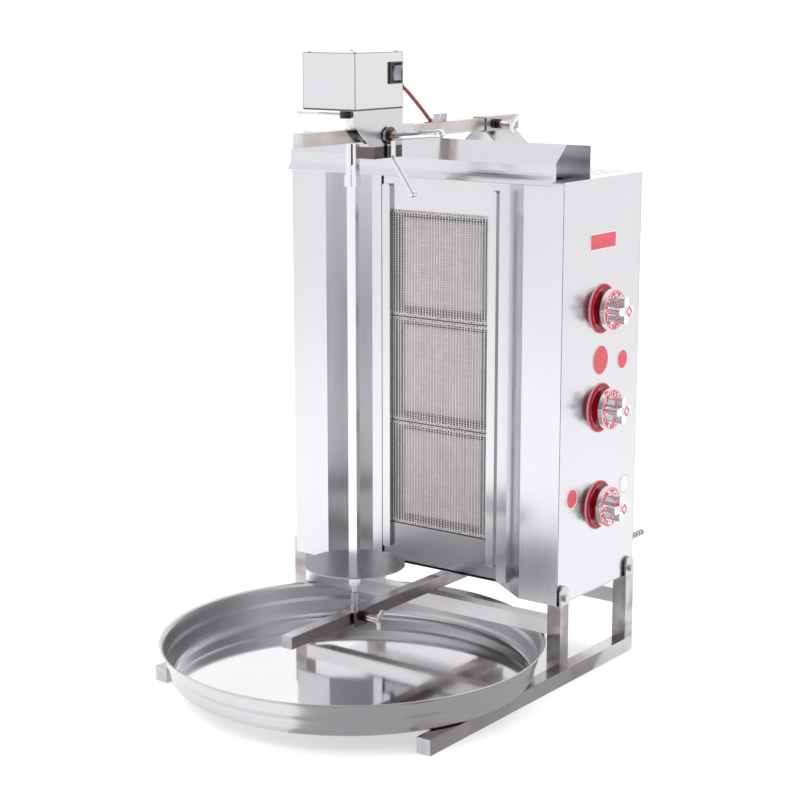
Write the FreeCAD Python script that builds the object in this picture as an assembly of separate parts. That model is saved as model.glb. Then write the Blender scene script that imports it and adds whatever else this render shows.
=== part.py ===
"""Vertical rotisserie broiler with a top motor, three gas radiants and a drip pan.

Millimetres. X to the right, Y to the back, Z up. While modelling, X = 0 is the cabinet's
middle plane, Y = 0 the front ends of the skids and Z = 0 the floor. `save` then moves every
piece by `origin_shift`, which puts the origin at the middle of the footprint.
"""
import FreeCAD, Part
import math
import os

V = FreeCAD.Vector
os.makedirs("parts", exist_ok=True)

# ---- driving dimensions -------------------------------------------------------------------
origin_shift = V(-4, -265, 0)
sheet = 1.0
thick_sheet = 2.0
shaft_gap = 0.05
bolt_r = 3.0
bolt_hole_r = 3.3
wing_bolt_r = 4.0
wing_hole_r = 4.4
nut_long = 8.0
nut_r = 8.0

# base frame, of square tube
tube = 25.0
tube_wall = 1.5
frame_width = 552.0
frame_half = frame_width / 2
skid_length = 595.0
front_leg_y = 360.0
rear_leg_y = skid_length - tube
cross_tube_z = 86.0
lug_thick = 3.0
lug_top = 168.0
lug_bolt_z = 148.0

# cabinet, of folded sheet
cabinet_width = 540.0
half = cabinet_width / 2
cabinet_front_y = 358.0
cabinet_back_y = 601.0
cabinet_z = 136.0
cabinet_top_z = 817.0
cover_lip = 14.0
wing_flat = 72.0
wing_inner = half - wing_flat
firebox_half = 139.0
firebox_y = 409.0
post_width = 20.0

# vent slots in the cover, in two groups
vent_rows = 4
vent_columns = 4
vent_x0 = 140.0
vent_y0 = 488.0
vent_length = 18.0
vent_width = 4.0

# hood over the firebox
hood_half = 261.0
hood_bend_y = 343.0
hood_bend_z = 843.0
hood_top_y = 378.0
hood_top_z = 874.0
upstand_y = 435.0
upstand_z = 869.0

# radiants, stacked in the firebox
names_up = ("bottom", "middle", "top")
radiant_count = len(names_up)
radiant_pitch = 181.0
radiant_low_z = 206.0
radiant_half = 98.0
panel_y = firebox_y + 3.0
tile_y = firebox_y + 9.0
tile_half = 78.0
tile_thick = 13.0
plenum_half = 96.0
plenum_back_y = 486.0
venturi_r = 14.0
guide_x0, guide_x1 = 99.5, 115.0
guide_z0, guide_z1 = 162.0, 791.0

# gas taps on the right side, and the pipework behind them
tap_y = 481.0
tap_low_z = 280.0
tap_pitch = 163.0
bezel_r = 41.0
skirt_r = 33.5
stem_r = 3.0
push_travel = 3.0
stem_in_x = 246.0
valve_x0, valve_x1 = 224.0, half - sheet
manifold_x, manifold_y = 236.0, 512.0
manifold_r = 8.0
inlet_x, inlet_z = 250.0, 188.0
spigot_end_y = 672.0
knob_tip_x = 320.0
skirt_lift = 13.0
skirt_deep = 11.0
badge_reach = 12.0

# spit, foot and lower arm, all on one vertical line
spit_x = 4.0
spit_y = 171.0
arm = 20.0
arm_wall = 1.5
lower_arm_z = cross_tube_z + tube
lower_arm_front = 0.0
saddle_half = 13.5
saddle_front = 150.0
saddle_back = 188.0
saddle_top_z = lower_arm_z + arm + 0.4
foot_bolt_y = 172.0
cup_top_z = 158.0
cup_floor_z = saddle_top_z + thick_sheet + 4.0
pivot_r = 4.0
spit_side = 14.0
spit_turn = 15.0
spit_top_z = 846.0
plate_z = 205.0
plate_r = 81.0
plate_thick = 2.0

# square drive tube over the spit's top
drive_side = 16.4
drive_bore = 14.3
drive_top_z = 924.0
collar_side = 19.6
collar_z = 811.0
shaft_r = 5.0

# upper arm and its support on the cover
upper_arm_x = 28.0
upper_arm_z = 881.0
upper_arm_front = 12.0
channel_front = 486.0
channel_back = 582.0
channel_x = upper_arm_x - 1.7
channel_half = 14.3
pedestal_foot_half = 80.0
pedestal_top_z = upper_arm_z - 1.5
rear_bolt_y = 514.0
arm_centre_z = upper_arm_z + arm / 2

# motor head
head_half = 50.0
head_left = spit_x - 2 - head_half
head_right = spit_x - 2 + head_half
head_front_y = 116.0
head_back_y = 236.0
head_z = 931.0
head_top_z = 1015.0
clamp_y = 199.0
clamp_z = upper_arm_z + arm / 2 - 2
clamp_screw_r = 4.0
grip_tilt = 5.0
lever_r = 4.8
sleeve_wall = 2.5
sleeve_gap = 0.4
sleeve_front, sleeve_back = 150.0, 278.0
clutch_x, clutch_y, clutch_z = 9.0, 148.0, 921.0
switch_y, switch_z = 216.0, 983.5
switch_wide, switch_tall = 31.0, 33.0
rocker_wide, rocker_tall = 18.0, 23.0
gland_x, gland_z = 42.0, 964.0
grommet_y = 350.0
cable_r = 3.0

# drip pan
pan_r = 312.0
pan_y = 170.0
pan_rim_z = 84.0
pan_sheet = 1.2


# ---- shape helpers ------------------------------------------------------------------------
def box(x0, x1, y0, y1, z0, z1):
    return Part.makeBox(x1 - x0, y1 - y0, z1 - z0, V(x0, y0, z0))


def rod(start, direction, length, radius):
    return Part.makeCylinder(radius, length, V(*start), V(*direction))


def cone(start, direction, length, r0, r1):
    return Part.makeCone(r0, r1, length, V(*start), V(*direction))


def solid_of(points, extrusion):
    """Prism on a closed outline."""
    wire = Part.makePolygon([V(*p) for p in points] + [V(*points[0])])
    return Part.Face(wire).extrude(V(*extrusion))


def strip(points, thickness):
    """Closed outline of a sheet folded along `points`, with its left side on the points."""
    inner = []
    last = len(points) - 1
    for i, (a, b) in enumerate(points):
        before = points[max(i - 1, 0)]
        after = points[min(i + 1, last)]
        d0 = (a - before[0], b - before[1]) if i > 0 else (after[0] - a, after[1] - b)
        d1 = (after[0] - a, after[1] - b) if i < last else d0
        l0, l1 = math.hypot(*d0), math.hypot(*d1)
        n0, n1 = (d0[1] / l0, -d0[0] / l0), (d1[1] / l1, -d1[0] / l1)
        k = thickness / (1 + n0[0] * n1[0] + n0[1] * n1[1])
        inner.append((a + k * (n0[0] + n1[0]), b + k * (n0[1] + n1[1])))
    return list(points) + inner[::-1]


def folded_plan(points, thickness, z0, z1):
    """Sheet folded about vertical lines."""
    return solid_of([(x, y, z0) for x, y in strip(points, thickness)], (0, 0, z1 - z0))


def folded_side(points, thickness, x0, x1):
    """Sheet folded about lines along X; points are (y, z)."""
    return solid_of([(x0, y, z) for y, z in strip(points, thickness)], (x1 - x0, 0, 0))


def turned(points, origin, axis):
    """Solid of revolution; points are (distance along the axis, radius)."""
    outline = [V(r, 0, d) for d, r in points]
    face = Part.Face(Part.makePolygon(outline + [outline[0]]))
    shape = face.revolve(V(0, 0, 0), V(0, 0, 1), 360)
    shape.Placement = FreeCAD.Placement(V(*origin), FreeCAD.Rotation(V(0, 0, 1), V(*axis)))
    return shape


def mirrored(shape):
    return shape.mirror(V(0, 0, 0), V(1, 0, 0))


def bent_tube(points, radius, bend, bore=0.0):
    """Round bar or tube through `points` with the corners turned at radius `bend`."""
    pts = [V(*p) for p in points]
    edges = []
    start = pts[0]
    for i in range(1, len(pts) - 1):
        to_back = (pts[i - 1] - pts[i]).normalize()
        to_next = (pts[i + 1] - pts[i]).normalize()
        turn = math.pi - to_back.getAngle(to_next)
        cut = bend * math.tan(turn / 2)
        a, b = pts[i] + to_back * cut, pts[i] + to_next * cut
        middle_dir = (to_back + to_next).normalize()
        mid = pts[i] + middle_dir * (bend / math.cos(turn / 2) - bend)
        edges.append(Part.LineSegment(start, a).toShape())
        edges.append(Part.Arc(a, mid, b).toShape())
        start = b
    edges.append(Part.LineSegment(start, pts[-1]).toShape())
    path = Part.Wire(edges)
    ring = Part.Wire(Part.makeCircle(radius, pts[0], pts[1] - pts[0]))
    shape = path.makePipeShell([ring], True, True)
    if bore:
        hole = Part.Wire(Part.makeCircle(bore, pts[0], pts[1] - pts[0]))
        shape = shape.cut(path.makePipeShell([hole], True, True))
    return shape


def cord_tube(points, radius):
    """Cord through `points`, each corner as round as its two runs allow."""
    pts = [V(*p) for p in points]
    edges = []
    start = pts[0]
    length = 0.0
    for before, here, after in zip(pts, pts[1:], pts[2:]):
        to_back, to_next = before - here, after - here
        turn = math.pi - to_back.getAngle(to_next)
        cut = 0.45 * min(to_back.Length, to_next.Length)
        bend = cut / math.tan(turn / 2)
        to_back.normalize()
        to_next.normalize()
        a, b = here + to_back * cut, here + to_next * cut
        inward = (to_back + to_next).normalize()
        mid = here + inward * (bend / math.cos(turn / 2) - bend)
        edges.append(Part.LineSegment(start, a).toShape())
        edges.append(Part.Arc(a, mid, b).toShape())
        length += (a - start).Length + bend * turn
        start = b
        print("cord bend radius", round(bend, 1))
    edges.append(Part.LineSegment(start, pts[-1]).toShape())
    length += (pts[-1] - start).Length
    ring = Part.Wire(Part.makeCircle(radius, pts[0], pts[1] - pts[0]))
    shape = Part.Wire(edges).makePipeShell([ring], True, True)
    print("cord length", round(length, 1), "volume ratio",
          round(shape.Volume / (math.pi * radius ** 2 * length), 4))
    return shape


def square_tube(x0, x1, y0, y1, z0, z1, wall, along):
    """Hollow square tube, open at both ends, running along 'x', 'y' or 'z'."""
    g = {"x": (0, wall, wall), "y": (wall, 0, wall), "z": (wall, wall, 0)}[along]
    outer = box(x0, x1, y0, y1, z0, z1)
    return outer.cut(box(x0 + g[0], x1 - g[0], y0 + g[1], y1 - g[1], z0 + g[2], z1 - g[2]))


def hex_prism(start, direction, length, across_flats):
    points = []
    for i in range(6):
        a = math.radians(60 * i)
        r = across_flats / math.sqrt(3)
        points.append(V(r * math.cos(a), r * math.sin(a), 0))
    prism = Part.Face(Part.makePolygon(points + [points[0]])).extrude(V(0, 0, length))
    prism.Placement = FreeCAD.Placement(V(*start), FreeCAD.Rotation(V(0, 0, 1), V(*direction)))
    return prism


saved = {}


def save(node, *solids):
    shape = solids[0] if len(solids) == 1 else Part.makeCompound(list(solids))
    shape = shape.copy()
    shape.translate(origin_shift)
    assert shape.isValid(), node
    shape.exportStep(f"parts/{node}.step")
    saved[node] = shape


# ---- base frame ---------------------------------------------------------------------------
def base_frame():
    for name, x0 in (("left", -frame_half), ("right", frame_half - tube)):
        skid = square_tube(x0, x0 + tube, 0, skid_length, 0, tube, tube_wall, "y")
        save(f"skid_{name}", skid)
    legs, cross_tubes = [], []
    for y0 in (front_leg_y, rear_leg_y):
        legs += [square_tube(x0, x0 + tube, y0, y0 + tube, tube, cabinet_z, tube_wall, "z")
                 for x0 in (-frame_half, frame_half - tube)]
        cross_tubes.append(square_tube(-frame_half + tube, frame_half - tube, y0, y0 + tube,
                                       cross_tube_z, cross_tube_z + tube, tube_wall, "x"))
    save("legs", *legs)
    save("cross_tubes", *cross_tubes)


def end_cap(x0, y_face, z0, size, wall, inward):
    """Plug pressed into a tube's end, with a thin cap outside; inward is +1 or -1 along Y."""
    plug_deep, cap_thick, edge = 8.0, 1.2, 0.3
    y0, y1 = sorted((y_face, y_face + inward * plug_deep))
    plug = box(x0 + wall, x0 + size - wall, y0, y1, z0 + wall, z0 + size - wall)
    y2, y3 = sorted((y_face, y_face - inward * cap_thick))
    cap = box(x0 + edge, x0 + size - edge, y2, y3, z0 + edge, z0 + size - edge)
    return plug.fuse(cap)


def end_caps():
    caps = []
    for x0 in (-frame_half, frame_half - tube):
        caps.append(end_cap(x0, 0, 0, tube, tube_wall, 1))
        caps.append(end_cap(x0, skid_length, 0, tube, tube_wall, -1))
    arm_ends = ((spit_x, lower_arm_front, lower_arm_z), (upper_arm_x, upper_arm_front, upper_arm_z))
    for x, y, z in arm_ends:
        caps.append(end_cap(x - arm / 2, y, z, arm, arm_wall, 1))
    save("tube_end_caps", *caps)


def lugs():
    """Upright tabs on the legs' outer sides, and the bolts that hold the cabinet to them."""
    x0 = frame_half - lug_thick
    shank_in = 12.0
    gap = x0 - half
    tabs, bolts = [], []
    for y0 in (front_leg_y, rear_leg_y):
        mid = y0 + tube / 2
        low = box(x0, frame_half, y0, y0 + tube, cabinet_z, lug_top - tube / 2)
        top = rod((x0, mid, lug_top - tube / 2), (1, 0, 0), lug_thick, tube / 2)
        hole = rod((x0 - 1, mid, lug_bolt_z), (1, 0, 0), lug_thick + 2, bolt_hole_r)
        tab = low.fuse(top).removeSplitter().cut(hole)
        shank = rod((half - shank_in, mid, lug_bolt_z), (1, 0, 0), frame_half - half + shank_in,
                    bolt_r)
        washer = rod((frame_half, mid, lug_bolt_z), (1, 0, 0), 1.2, 6.5)
        head = hex_prism((frame_half + 1.2, mid, lug_bolt_z), (1, 0, 0), 4.0, 10.0)
        spacer = rod((half, mid, lug_bolt_z), (1, 0, 0), gap, 6.0)
        bolt = shank.fuse([washer, head, spacer])
        for shape, group in ((tab, tabs), (bolt, bolts)):
            group += [shape, mirrored(shape)]
    save("cabinet_lugs", *tabs)
    save("lug_bolts", *bolts)


# ---- cabinet ------------------------------------------------------------------------------
def tap_heights():
    return [tap_low_z + i * tap_pitch for i in range(radiant_count)]


def radiant_base(i):
    return radiant_low_z + i * radiant_pitch


def side_panels(inner_top):
    panel = box(half - sheet, half, cabinet_front_y + sheet, cabinet_back_y - sheet,
                cabinet_z + sheet, inner_top)
    for y0 in (front_leg_y, rear_leg_y):
        panel = panel.cut(rod((half - 5, y0 + tube / 2, lug_bolt_z), (1, 0, 0), 10, bolt_hole_r))
    save("side_panel_left", mirrored(panel))
    tap_holes = [rod((half - 5, tap_y, z), (1, 0, 0), 10, 6.0) for z in tap_heights()]
    save("side_panel_right", panel.cut(Part.makeCompound(tap_holes)))


def cabinet():
    inner_top = cabinet_top_z - sheet
    side_panels(inner_top)

    back = box(-half, half, cabinet_back_y - sheet, cabinet_back_y, cabinet_z + sheet, inner_top)
    louvre_half, louvre_tall, louvre_pitch, louvre_z0 = 90.0, 5.0, 20.0, 640.0
    holes = [rod((inlet_x, cabinet_back_y - 5, inlet_z), (0, 1, 0), 10, 9.0)]
    for row in range(5):
        z = louvre_z0 + row * louvre_pitch
        holes.append(box(-louvre_half, louvre_half, cabinet_back_y - 5, cabinet_back_y + 5,
                         z, z + louvre_tall))
    save("back_panel", back.cut(Part.makeCompound(holes)))

    floor = box(-half, half, cabinet_front_y + sheet, cabinet_back_y, cabinet_z,
                cabinet_z + sheet)
    inside = firebox_half - post_width
    mouth = solid_of([(-wing_inner, cabinet_front_y - 1, cabinet_z - 1),
                      (wing_inner, cabinet_front_y - 1, cabinet_z - 1),
                      (inside, firebox_y + 4, cabinet_z - 1),
                      (-inside, firebox_y + 4, cabinet_z - 1)], (0, 0, 4))
    save("bottom_panel", floor.cut(mouth))

    wing = folded_plan([(half, cabinet_front_y), (wing_inner, cabinet_front_y),
                        (firebox_half, firebox_y), (inside, firebox_y)],
                       -sheet, cabinet_z + sheet, inner_top)
    save("front_wing_right", wing)
    save("front_wing_left", mirrored(wing))


def top_cover():
    """Flat cover with lips down its sides and back, turned up at the front behind the flue."""
    low, high = cabinet_top_z - sheet, cabinet_top_z
    outer = half + sheet
    flat = box(-outer, outer, upstand_y, cabinet_back_y + sheet, low, high)
    back_lip = box(-outer, outer, cabinet_back_y, cabinet_back_y + sheet, high - cover_lip, high)
    upstand = box(-half, half, upstand_y, upstand_y + sheet, high, upstand_z)
    ledge_x = 240.0
    ledge = box(ledge_x, outer, cabinet_front_y, upstand_y, low, high)
    lip = box(half, outer, cabinet_front_y, cabinet_back_y + sheet, high - cover_lip, high)
    cover = flat.fuse([back_lip, upstand, ledge, mirrored(ledge), lip, mirrored(lip)])
    slots = []
    for row in range(vent_rows):
        y0 = vent_y0 + row * 30
        for column in range(vent_columns):
            x0 = vent_x0 + column * (vent_length + 9)
            slot = box(x0, x0 + vent_length, y0, y0 + vent_width, low - 5, high + 5)
            slots += [slot, mirrored(slot)]
    save("top_cover", cover.removeSplitter().cut(Part.makeCompound(slots)))


def hood():
    """Sloping deflector over the firebox mouth, bent down into a face with a flared lip."""
    flare = [(0, 12), (0.5, 16), (1.5, 19.5), (3.0, 22.8), (5.0, 25.8), (7.5, 28.5), (9.0, 30)]
    profile = [(hood_top_y, hood_top_z), (hood_bend_y, hood_bend_z)]
    profile += [(hood_bend_y - out, hood_bend_z - drop) for out, drop in flare]
    shell = folded_side(profile, -sheet, -hood_half, hood_half)
    front, back = hood_bend_y + sheet / 2, cabinet_front_y + 12
    low, high = cabinet_top_z, hood_bend_z - 1
    line = [(front, high - 16), (front, high), (back, high), (back, low),
            (cabinet_front_y + 1, low)]
    gusset = solid_of([(hood_half - 15, y, z) for y, z in line], (thick_sheet, 0, 0))
    save("hood", shell.fuse([gusset, mirrored(gusset)]))


# ---- firebox and burners ------------------------------------------------------------------
def firebox():
    """Plain sheets above and below the radiants, and the rounded strips beside them."""
    top_of_radiants = radiant_base(radiant_count)
    wide = firebox_half - post_width + 4
    wall = 1.5
    low, high = 141.0, cabinet_top_z - 4
    upper = box(-wide, wide, panel_y, panel_y + wall, top_of_radiants, high)
    upper_lip = box(-wide, wide, panel_y + wall, panel_y + 11, top_of_radiants,
                    top_of_radiants + wall)
    save("upper_blank_panel", upper.fuse(upper_lip))
    lower = box(-wide, wide, panel_y, panel_y + wall, low, radiant_low_z)
    lower_lip = box(-wide, wide, panel_y + wall, panel_y + 24, low, low + 2)
    save("lower_blank_panel", lower.fuse(lower_lip))

    front, back = firebox_y - 4, firebox_y + 2.8
    body = box(guide_x0, guide_x1, front, back, guide_z0, guide_z1)
    body = body.cut(box(guide_x0 + wall, guide_x1 - wall, front + wall, back + 1,
                        guide_z0 + wall, guide_z1 - wall))
    depth = back - front
    corners = [e for e in body.Edges if abs(e.BoundBox.YLength - depth) < 0.01]
    flange = box(guide_x1 - wall, wide, back - wall, back, guide_z0 + 4, guide_z1 - 4)
    guide = body.makeFillet(4.0, corners).fuse(flange)
    save("guide_strips", guide, mirrored(guide))


def burners():
    tiles, plenums, screens = [], [], []
    skin = 2.0
    inner = plenum_half - skin
    back = tile_y + tile_thick
    for i in range(radiant_count):
        z0 = radiant_base(i)
        z1 = z0 + radiant_pitch
        zc = (z0 + z1) / 2
        tile_z0, tile_z1 = z0 + 19, z1 - 12
        tiles.append(box(-tile_half, tile_half, tile_y, back, tile_z0, tile_z1))
        shell = box(-plenum_half, plenum_half, tile_y + 1, plenum_back_y, z0 + 6, z1 - 6)
        hollow = box(-inner, inner, tile_y, plenum_back_y - skin, z0 + 8, z1 - 8)
        rim = box(-inner, inner, back - 4, back - 2, z0 + 8, z1 - 8)
        window = box(-tile_half, tile_half, tile_y - 1, back + 1, tile_z0, tile_z1)
        venturi = rod((inner + 0.5, tap_y - 25, zc), (1, 0, 0), 55, venturi_r)
        bore = rod((inner - 1, tap_y - 25, zc), (1, 0, 0), 58, venturi_r - 1.5)
        plenums.append(shell.cut(hollow).fuse([rim.cut(window), venturi]).cut(bore))
        screens.append(box(-radiant_half, radiant_half, panel_y + 1, panel_y + 2.5,
                           z0 + 1.5, z1 - 0.5))
    save("ceramic_tiles", *tiles)
    save("burner_plenums", *plenums)
    save("burner_screens", *screens)


# ---- gas train ----------------------------------------------------------------------------
def gas_valve(z):
    neck_x = valve_x1 - 6
    body = box(valve_x0, neck_x, tap_y - 13, tap_y + 13, z - 12, z + 12)
    neck = rod((neck_x, tap_y, z), (1, 0, 0), 6, 10)
    branch = rod((manifold_x, tap_y + 12, z), (0, 1, 0),
                 manifold_y - manifold_r - tap_y - 12.3, 6)
    bore = rod((stem_in_x - push_travel - 1, tap_y, z), (1, 0, 0), 40,
               stem_r + shaft_gap)
    return body.fuse([neck, branch]).cut(bore)


def gas_train():
    valves, pipes, holders = [], [], []
    pipe_y = tap_y - 5
    for i, z in enumerate(tap_heights()):
        valves.append(gas_valve(z))
        zc = radiant_base(i) + radiant_pitch / 2
        pipes.append(bent_tube([(valve_x0, pipe_y, z), (195, pipe_y, z), (195, pipe_y, zc),
                                (166, pipe_y, zc)], 4.0, 7.0, 2.6))
        holder = hex_prism((150, tap_y - 25, zc), (1, 0, 0), 15.9, 17)
        link = box(154, 165.9, tap_y - 28, tap_y + 2, zc - 6, zc + 6)
        holders.append(holder.fuse(link))
    save("gas_valves", *valves)
    save("burner_feed_lines", *pipes, *holders)

    low = inlet_z - 12
    main = rod((manifold_x, manifold_y, low), (0, 0, 1), tap_heights()[-1] + 25 - low, manifold_r)
    tail = bent_tube([(manifold_x, manifold_y, inlet_z), (manifold_x, manifold_y + 40, inlet_z),
                      (inlet_x, manifold_y + 60, inlet_z),
                      (inlet_x, cabinet_back_y - 4, inlet_z)], 6.0, 12.0)
    save("gas_manifold", main.fuse(tail))

    nut = hex_prism((inlet_x, cabinet_back_y - 3.9, inlet_z), (0, 1, 0), 15.9, 15.0)
    shank_y = cabinet_back_y + 12
    nozzle = rod((inlet_x, shank_y, inlet_z), (0, 1, 0), spigot_end_y - shank_y, 4.0)
    barbs = [cone((inlet_x, spigot_end_y - 8 - k * 10, inlet_z), (0, 1, 0), 7.0, 5.4, 4.0)
             for k in range(4)]
    bore = rod((inlet_x, shank_y - 5, inlet_z), (0, 1, 0), 80, 2.4)
    save("hose_spigot", nut.fuse([nozzle] + barbs).cut(bore))


def knob(z):
    """Round skirt with a four-armed grip and a plain raised diamond on its face."""
    skirt_x = half + skirt_lift
    grip_x0, grip_x1 = skirt_x + skirt_deep - 1, knob_tip_x - 5
    reach, width = 22.5, 13.5
    skirt = turned([(0, 0), (0, skirt_r - 3), (2.5, skirt_r), (skirt_deep - 1, skirt_r),
                    (skirt_deep, skirt_r - 1), (skirt_deep, 0)], (skirt_x, tap_y, z), (1, 0, 0))
    arms = []
    for y_half, z_half in ((width / 2, reach), (reach, width / 2)):
        bar = box(grip_x0, grip_x1, tap_y - y_half, tap_y + y_half, z - z_half, z + z_half)
        ends = [e for e in bar.Edges if e.BoundBox.XLength > 1]
        arms.append(bar.makeFillet(width / 2 - 0.5, ends))
    side = badge_reach / math.sqrt(2)
    square = box(grip_x1, knob_tip_x, tap_y - side, tap_y + side, z - side, z + side)
    square.rotate(V(0, tap_y, z), V(1, 0, 0), 45)
    body = skirt.fuse(arms + [square])
    return body.cut(rod((skirt_x - 1, tap_y, z), (1, 0, 0), 26, stem_r + shaft_gap))


def taps():
    """Bezel on the panel, stem that pushes in, and the knob that turns on it."""
    bezels = []
    bezel_line = [(0, 8), (0, bezel_r), (1.2, bezel_r), (3.4, bezel_r - 2.5),
                  (3.6, bezel_r - 6), (1.6, bezel_r - 11), (1.4, 8)]
    for name, z in zip(names_up, tap_heights()):
        bezels.append(turned(bezel_line, (half, tap_y, z), (1, 0, 0)))
        stem = rod((stem_in_x, tap_y, z), (1, 0, 0), half + 33 - stem_in_x, stem_r)
        save(f"valve_stem_{name}", stem)
        save(f"knob_{name}", knob(z))
    save("knob_bezels", *bezels)


def labels():
    """Plain plates on the right side, with nothing written on them."""
    thick = 0.5
    plates = [box(half, half + thick, 440, 521, 702, 729)]
    for y, z, radius in ((479, 522, 25), (550, 513, 17), (398, 307, 17), (567, 298, 18)):
        plates.append(rod((half, y, z), (1, 0, 0), thick, radius))
    save("blank_labels", *plates)


# ---- drip pan -----------------------------------------------------------------------------
def drip_pan():
    """Spun pan: flat bottom, wall with a soft step, and a flared rim."""
    low = tube + 0.2
    step = low + 30
    line = [(low, 0), (low, 284), (low + 1.5, 288.5), (low + 5, 292), (low + 11, 294.6),
            (step - 3, 297.6), (step, 299.2), (step + 3, 300.9), (step + 8, 302.2),
            (pan_rim_z - 12, 304), (pan_rim_z - 7, 305.6), (pan_rim_z - 3.6, 308.2),
            (pan_rim_z - 1.4, pan_r)]
    save("drip_pan", turned(strip(line, pan_sheet), (0, pan_y, 0), (0, 0, 1)))


# ---- wing bolts ---------------------------------------------------------------------------
def wing_bolt(x_tip, y, z, x_nut, x_head, tilt):
    """Wing bolt along X from its tip to its boss's outer end, thicker outside the nut."""
    shank = rod((x_tip, y, z), (1, 0, 0), x_head - x_tip, wing_bolt_r)
    barrel = rod((x_nut + nut_long + 1, y, z), (1, 0, 0), x_head - x_nut - nut_long - 9, 5.0)
    neck = rod((x_head - 8, y, z), (1, 0, 0), 2, 6.5)
    boss = cone((x_head - 7, y, z), (1, 0, 0), 7, 5.5, 5.0)
    wings = []
    for side in (0, 180):
        wing = Part.makeBox(3.0, 10.0, 15.0, V(x_head - 5, y - 5, z + 3))
        wing = wing.makeFillet(1.2, wing.Edges)
        wing.rotate(V(x_head - 4, y, z), V(0, 1, 0), 22)
        wing.rotate(V(x_head, y, z), V(1, 0, 0), tilt + side)
        wings.append(wing)
    return shank.fuse([barrel, neck, boss] + wings)


def round_nut(x0, y, z):
    """Grooved round nut fixed to a plate, bored for the bolt with running clearance."""
    nut = rod((x0, y, z), (1, 0, 0), nut_long, nut_r)
    groove = rod((x0 + 3, y, z), (1, 0, 0), 1.5, nut_r + 1)
    groove = groove.cut(rod((x0 + 2, y, z), (1, 0, 0), 4, nut_r - 1.5))
    bore = rod((x0 - 1, y, z), (1, 0, 0), nut_long + 2, wing_bolt_r + shaft_gap)
    return nut.cut(groove).cut(bore)


# ---- lower arm, foot and spit -------------------------------------------------------------
def lower_arm():
    save("lower_arm", square_tube(spit_x - arm / 2, spit_x + arm / 2, lower_arm_front,
                                  rear_leg_y + tube, lower_arm_z, lower_arm_z + arm,
                                  arm_wall, "y"))


def foot():
    """Saddle over the lower arm, with the cup that the spit's pivot stands in."""
    outer_half = saddle_half + thick_sheet
    outer = box(spit_x - outer_half, spit_x + outer_half, saddle_front, saddle_back,
                lower_arm_z - 4, saddle_top_z + thick_sheet)
    inner = box(spit_x - saddle_half, spit_x + saddle_half, saddle_front - 1, saddle_back + 1,
                lower_arm_z - 5, saddle_top_z)
    zc = lower_arm_z + arm / 2
    hole = rod((spit_x, foot_bolt_y, zc), (1, 0, 0), 30, wing_hole_r)
    nut = round_nut(spit_x + outer_half, foot_bolt_y, zc)
    save("foot_saddle", outer.cut(inner).cut(hole).fuse(nut))
    cup_z = saddle_top_z + thick_sheet
    cup = rod((spit_x, spit_y, cup_z), (0, 0, 1), cup_top_z - cup_z, 6.5)
    cup = cup.cut(rod((spit_x, spit_y, cup_floor_z), (0, 0, 1), 40, pivot_r + shaft_gap))
    save("foot_bearing_cup", cup)
    save("foot_wing_bolt", wing_bolt(spit_x + arm / 2 + 0.1, foot_bolt_y, zc,
                                     spit_x + outer_half, spit_x + 49, -20))


def at_spit(shape):
    """Turns a shape about the spit's line to the angle at which the drive stands."""
    shape.rotate(V(spit_x, spit_y, 0), V(0, 0, 1), spit_turn)
    return shape


def square_bar(side, z0, z1):
    h = side / 2
    return box(spit_x - h, spit_x + h, spit_y - h, spit_y + h, z0, z1)


def spit():
    """Square bar with a round pivot below, and the plate that the meat stands on."""
    bar_z = 170.0
    bar = square_bar(spit_side, bar_z, spit_top_z)
    top_edges = [e for e in bar.Edges if abs(e.BoundBox.ZMin - spit_top_z) < 0.01]
    bar = bar.makeChamfer(2.0, top_edges)
    taper_z = cup_top_z + 0.6
    taper = cone((spit_x, spit_y, taper_z), (0, 0, 1), bar_z - taper_z, pivot_r,
                 spit_side / 2 - 0.1)
    pivot = rod((spit_x, spit_y, cup_floor_z + 0.1), (0, 0, 1), taper_z - cup_floor_z, pivot_r)
    pin = rod((spit_x - 10, spit_y, 184), (1, 0, 0), 20.5, 2.0)
    save("spit", at_spit(bar.fuse([taper, pivot, pin])))
    disc = rod((spit_x, spit_y, plate_z), (0, 0, 1), plate_thick, plate_r)
    hole = square_bar(spit_side + 0.1, plate_z - 2, plate_z + 30)
    save("meat_plate", at_spit(disc.cut(hole)))


def drive():
    """Square tube turned by the gearbox, with the slotted collar that the spit plugs into."""
    slot_x, slot_wide, slot_top_z = 0.6, 3.2, 905.0
    stop_z = spit_top_z + 30
    body = square_bar(drive_side, collar_z + 6, drive_top_z)
    body = body.cut(square_bar(drive_bore, collar_z, stop_z))
    body = body.cut(rod((spit_x, spit_y, stop_z - 5), (0, 0, 1), 200, shaft_r))
    cross_hole = rod((spit_x - 20, spit_y, spit_top_z - 4), (1, 0, 0), 40, 2.0)
    groove = box(spit_x + slot_x, spit_x + slot_x + slot_wide, spit_y - drive_side,
                 spit_y - drive_bore / 2 + 0.2, collar_z, slot_top_z)
    save("drive_tube", at_spit(body.cut(cross_hole).cut(groove)))
    collar = square_bar(collar_side, collar_z, collar_z + 18)
    collar = collar.cut(square_bar(drive_side, collar_z + 6, collar_z + 20))
    collar = collar.cut(square_bar(drive_bore, collar_z - 2, collar_z + 8))
    slot = box(spit_x + slot_x, spit_x + slot_x + slot_wide, spit_y - 20,
               spit_y - drive_bore / 2 + 0.5, collar_z - 1, collar_z + 20)
    save("socket_collar", at_spit(collar.cut(slot)))
    save("output_shaft", rod((spit_x, spit_y, stop_z + 1), (0, 0, 1), 86, shaft_r))


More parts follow.
